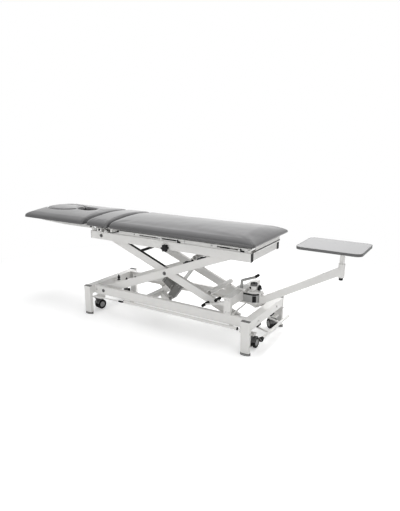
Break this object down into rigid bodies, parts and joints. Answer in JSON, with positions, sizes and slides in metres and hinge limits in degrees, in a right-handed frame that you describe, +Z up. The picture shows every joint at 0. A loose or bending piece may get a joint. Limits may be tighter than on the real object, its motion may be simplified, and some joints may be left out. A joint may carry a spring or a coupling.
{
  "type": "traction table",
  "caption": "Height-adjustable traction table with a scissor lift, three-section padded top with a face opening, and a swinging arm with a tray at the foot end",
  "frame": {"origin": "on the floor, under the middle of the overall box", "axes": "+X from the head end to the tray end, +Y across to the far side, +Z up"},
  "size_m": [2.666, 0.583, 0.767],
  "materials": {
    "frame_coat": "light warm grey powder coat, satin",
    "bright_steel": "zinc-plated pins and turned rods",
    "tube_metal": "drawn guide tube, satin",
    "dark_plastic": "black moulded plastic, fine grain",
    "foot_rubber": "black moulded rubber",
    "castor_plastic": "dark grey castor hood",
    "castor_tread": "grey castor tread",
    "grey_vinyl": "light grey upholstery vinyl, sewn",
    "board_wood": "dark laminated board",
    "tray_laminate": "grey laminate"
  },
  "bodies": {
    "base": {"base_rails": "frame_coat", "base_cross_members": "frame_coat", "base_posts": "frame_coat", "post_caps": "dark_plastic", "feet": "foot_rubber", "portal_uprights": "frame_coat", "portal_beam": "frame_coat", "actuator_seat": "frame_coat", "base_brackets": "frame_coat"},
    "foot_bar_near": {"foot_bar_near": "frame_coat"},
    "foot_bar_far": {"foot_bar_far": "frame_coat"},
    "castor_shaft_head": {"castor_shaft_head": "frame_coat"},
    "castor_shaft_foot": {"castor_shaft_foot": "frame_coat"},
    "release_pedal": {"release_pedal": "dark_plastic"},
    "outer_arms": {"outer_arms": "frame_coat", "lift_tube": "frame_coat", "outer_arm_pins": "bright_steel"},
    "upper_rollers": {"upper_rollers": "dark_plastic"},
    "inner_arms": {"inner_arms": "frame_coat", "inner_cross_tube": "frame_coat", "inner_tie_bar": "dark_plastic", "inner_arm_pins": "bright_steel"},
    "lower_rollers": {"lower_rollers": "dark_plastic"},
    "actuator": {"actuator_housing": "dark_plastic", "actuator_motor": "dark_plastic", "actuator_tube": "tube_metal"},
    "actuator_rod": {"actuator_rod": "bright_steel"},
    "upper_frame": {"upper_rails": "frame_coat", "frame_cross_members": "frame_coat", "rail_caps": "dark_plastic", "slide_rails": "frame_coat", "head_hinge": "frame_coat", "middle_board": "board_wood", "middle_pad": "grey_vinyl"},
    "star_knob": {"star_knob": "dark_plastic"},
    "carriage": {"carriage_frame": "frame_coat", "carriage_glides": "dark_plastic", "main_board": "board_wood", "main_pad": "grey_vinyl"},
    "head_section": {"head_frame": "frame_coat", "head_board": "board_wood", "head_pad": "grey_vinyl"},
    "face_plug": {"face_plug": "grey_vinyl"},
    "clamp": {"clamp_block": "frame_coat"},
    "clamp_lever": {"clamp_lever": "bright_steel"},
    "traction_arm": {"traction_arm": "frame_coat", "swivel_post": "bright_steel"},
    "swivel_knob": {"swivel_knob": "dark_plastic"},
    "height_knob": {"height_knob": "dark_plastic"},
    "tray_post": {"tray_post": "bright_steel"},
    "tray": {"tray": "tray_laminate", "tray_edging": "dark_plastic"},
    "castor_fork_head_near": {"castor_fork_head_near": "castor_plastic"},
    "castor_wheels_head_near": {"castor_wheels_head_near": "castor_tread"},
    "castor_fork_head_far": {"castor_fork_head_far": "castor_plastic"},
    "castor_wheels_head_far": {"castor_wheels_head_far": "castor_tread"},
    "castor_fork_foot_near": {"castor_fork_foot_near": "castor_plastic"},
    "castor_wheels_foot_near": {"castor_wheels_foot_near": "castor_tread"},
    "castor_fork_foot_far": {"castor_fork_foot_far": "castor_plastic"},
    "castor_wheels_foot_far": {"castor_wheels_foot_far": "castor_tread"}
  },
  "joints": [
    {"name": "lift", "type": "hinge", "parent": "base", "child": "outer_arms", "pos_m": [-0.544, 0, 0.1925], "axis": [0, -1, 0], "range_deg": [-9.4, 9.6]},
    {"name": "scissor_centre", "type": "hinge", "parent": "outer_arms", "child": "inner_arms", "pos_m": [0.00719, 0, 0.40851], "axis": [0, -1, 0], "range_deg": [-19.3, 18.9]},
    {"name": "frame_level", "type": "hinge", "parent": "inner_arms", "child": "upper_frame", "pos_m": [-0.544, 0, 0.62451], "axis": [0, -1, 0], "range_deg": [-9.45, 9.65]},
    {"name": "upper_roller_spin", "type": "hinge", "parent": "outer_arms", "child": "upper_rollers", "pos_m": [0.55837, 0, 0.62451], "axis": [0, 1, 0], "continuous": true},
    {"name": "lower_roller_spin", "type": "hinge", "parent": "inner_arms", "child": "lower_rollers", "pos_m": [0.55837, 0, 0.1925], "axis": [0, 1, 0], "continuous": true},
    {"name": "actuator_tilt", "type": "hinge", "parent": "base", "child": "actuator", "pos_m": [-0.086, 0, 0.14], "axis": [0, -1, 0], "range_deg": [-14, 14.3]},
    {"name": "actuator_stroke", "type": "slide", "parent": "actuator", "child": "actuator_rod", "axis": [0.6115, 0, 0.7912], "range_m": [-0.0637, 0.0651]},
    {"name": "carriage_slide", "type": "slide", "parent": "upper_frame", "child": "carriage", "axis": [1, 0, 0], "range_m": [0, 0.12]},
    {"name": "head_tilt", "type": "hinge", "parent": "upper_frame", "child": "head_section", "pos_m": [-0.658, 0, 0.68401], "axis": [0, 1, 0], "range_deg": [-30, 25]},
    {"name": "plug_lift", "type": "slide", "parent": "head_section", "child": "face_plug", "axis": [0, 0, 1], "range_m": [0, 0.1]},
    {"name": "star_knob_turn", "type": "hinge", "parent": "upper_frame", "child": "star_knob", "pos_m": [0.05, -0.219, 0.60801], "axis": [0, 1, 0], "range_deg": [0, 360]},
    {"name": "foot_bar_near_press", "type": "hinge", "parent": "base", "child": "foot_bar_near", "pos_m": [0.018, -0.188, 0.147], "axis": [1, 0, 0], "range_deg": [0, 10], "stiffness_Nm_per_rad": 2, "springref_deg": -20.05},
    {"name": "foot_bar_far_press", "type": "hinge", "parent": "base", "child": "foot_bar_far", "pos_m": [0.018, 0.188, 0.147], "axis": [-1, 0, 0], "range_deg": [0, 10], "stiffness_Nm_per_rad": 2, "springref_deg": -20.05},
    {"name": "castor_lift", "type": "hinge", "parent": "base", "child": "castor_shaft_foot", "pos_m": [0.643, 0, 0.136], "axis": [0, 1, 0], "range_deg": [0, 15]},
    {"name": "castor_lift_head", "type": "hinge", "parent": "base", "child": "castor_shaft_head", "pos_m": [-0.607, 0, 0.136], "axis": [0, -1, 0], "range_deg": [0, 15]},
    {"name": "release_press", "type": "hinge", "parent": "base", "child": "release_pedal", "pos_m": [0.492, -0.214, 0.29], "axis": [0, -1, 0], "range_deg": [-5, 7]},
    {"name": "castor_swivel_head_near", "type": "hinge", "parent": "castor_shaft_head", "child": "castor_fork_head_near", "pos_m": [-0.6595, -0.18, 0.1], "axis": [0, 0, 1], "continuous": true},
    {"name": "castor_roll_head_near", "type": "hinge", "parent": "castor_fork_head_near", "child": "castor_wheels_head_near", "pos_m": [-0.65464, -0.15243, 0.0415], "axis": [-0.9848, 0.1736, 0], "continuous": true},
    {"name": "castor_swivel_head_far", "type": "hinge", "parent": "castor_shaft_head", "child": "castor_fork_head_far", "pos_m": [-0.6595, 0.18, 0.1], "axis": [0, 0, 1], "continuous": true},
    {"name": "castor_roll_head_far", "type": "hinge", "parent": "castor_fork_head_far", "child": "castor_wheels_head_far", "pos_m": [-0.64226, 0.15794, 0.0415], "axis": [0.788, 0.6157, 0], "continuous": true},
    {"name": "castor_swivel_foot_near", "type": "hinge", "parent": "castor_shaft_foot", "child": "castor_fork_foot_near", "pos_m": [0.6955, -0.18, 0.1], "axis": [0, 0, 1], "continuous": true},
    {"name": "castor_roll_foot_near", "type": "hinge", "parent": "castor_fork_foot_near", "child": "castor_wheels_foot_near", "pos_m": [0.6955, -0.152, 0.0415], "axis": [-1, 0, 0], "continuous": true},
    {"name": "castor_swivel_foot_far", "type": "hinge", "parent": "castor_shaft_foot", "child": "castor_fork_foot_far", "pos_m": [0.6955, 0.18, 0.1], "axis": [0, 0, 1], "continuous": true},
    {"name": "castor_roll_foot_far", "type": "hinge", "parent": "castor_fork_foot_far", "child": "castor_wheels_foot_far", "pos_m": [0.67502, 0.1991, 0.0415], "axis": [-0.682, -0.7314, 0], "continuous": true},
    {"name": "clamp_slide", "type": "slide", "parent": "base", "child": "clamp", "axis": [0, 1, 0], "range_m": [-0.04, 0.04]},
    {"name": "clamp_lever_turn", "type": "hinge", "parent": "clamp", "child": "clamp_lever", "pos_m": [0.538, -0.025, 0.36], "axis": [0, 0, 1], "range_deg": [0, 60]},
    {"name": "arm_swing", "type": "hinge", "parent": "clamp", "child": "traction_arm", "pos_m": [0.618, 0, 0.3], "axis": [0, 0, 1], "range_deg": [-15, 15]},
    {"name": "swivel_knob_turn", "type": "hinge", "parent": "traction_arm", "child": "swivel_knob", "pos_m": [0.658, 0, 0.3623], "axis": [1, 0, 0], "range_deg": [0, 360]},
    {"name": "height_knob_turn", "type": "hinge", "parent": "traction_arm", "child": "height_knob", "pos_m": [1.191, 0, 0.515], "axis": [0, 0, 1], "range_deg": [0, 360]},
    {"name": "tray_height", "type": "slide", "parent": "traction_arm", "child": "tray_post", "axis": [0, 0, 1], "range_m": [0, 0.045]},
    {"name": "tray_turn", "type": "hinge", "parent": "tray_post", "child": "tray", "pos_m": [1.191, 0, 0.711], "axis": [0, 0, 1], "range_deg": [-45, 45]}
  ],
  "couplings": [
    {"joint": "scissor_centre", "follows": "lift", "ratio": -2},
    {"joint": "frame_level", "follows": "lift", "ratio": 1},
    {"joint": "actuator_tilt", "follows": "lift", "ratio": 1.4795},
    {"joint": "actuator_stroke", "follows": "lift", "m_per_rad": 0.38627},
    {"joint": "castor_lift_head", "follows": "castor_lift", "ratio": 1}
  ]
}
